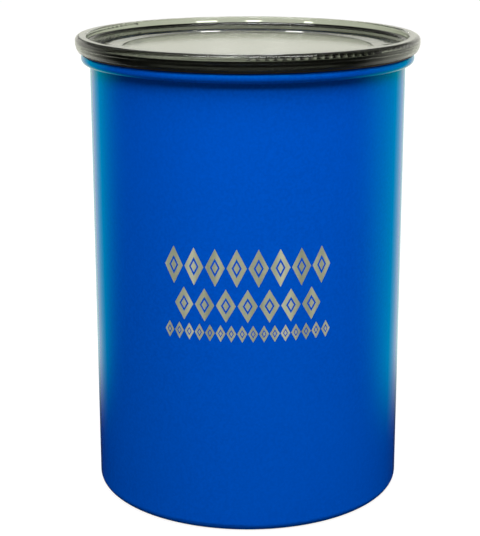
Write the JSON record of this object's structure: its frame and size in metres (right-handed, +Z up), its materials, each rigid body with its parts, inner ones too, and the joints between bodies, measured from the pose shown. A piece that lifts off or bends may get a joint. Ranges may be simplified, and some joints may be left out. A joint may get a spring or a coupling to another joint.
{
  "type": "coffee canister with valve",
  "caption": "Straight steel canister with a rolled bead, a clear dished outer lid, and a push-down inner lid with a wiper ring and a lift valve that its folding handle opens.",
  "frame": {"origin": "centre of the base, on the surface that the canister stands on", "axes": "+Z up along the canister's axis, front at -Y, which the folded handle points to"},
  "size_m": [0.1308, 0.1308, 0.1783],
  "materials": {
    "blue_steel": "satin powder coat outside, brushed steel inside",
    "clear_lid": "smoke-tinted clear plastic, glossy",
    "plate_plastic": "fine moulded grain",
    "seal_rubber": "soft matt black",
    "silicone": "soft matt silicone",
    "bright_steel": "bright",
    "stem_plastic": "smooth turned plastic",
    "button_plastic": "polished crown",
    "handle_plastic": "fine moulded grain",
    "grip_rubber": "matt, grooved"
  },
  "bodies": {
    "canister": {"canister_body": "blue_steel"},
    "lid": {"outer_lid": "clear_lid", "lid_seal": "seal_rubber"},
    "inner_lid": {"inner_lid_top_plate": "plate_plastic", "inner_lid_bottom_plate": "plate_plastic", "wiper_ring": "silicone", "plate_screws": "bright_steel", "valve_spring": "bright_steel", "pivot_pins": "bright_steel"},
    "valve": {"valve_stem": "stem_plastic", "valve_disc": "silicone", "valve_washer": "bright_steel", "stem_clip": "bright_steel", "valve_button": "button_plastic"},
    "handle": {"handle": "handle_plastic", "handle_grip": "grip_rubber"}
  },
  "joints": [
    {"name": "lid_lift", "type": "slide", "parent": "canister", "child": "lid", "axis": [0, 0, 1], "range_m": [0, 0.08]},
    {"name": "inner_lid_slide", "type": "slide", "parent": "canister", "child": "inner_lid", "axis": [0, 0, 1], "range_m": [-0.093, 0.001]},
    {"name": "handle_swing", "type": "hinge", "parent": "inner_lid", "child": "handle", "pos_m": [0, 0, 0.126], "axis": [-1, 0, 0], "range_deg": [0, 90]},
    {"name": "valve_lift", "type": "slide", "parent": "inner_lid", "child": "valve", "axis": [0, 0, 1], "range_m": [0, 0.003], "deforming": ["valve_spring"]}
  ],
  "couplings": [
    {"joint": "valve_lift", "follows": "handle_swing", "m_per_rad": 0.0019}
  ]
}
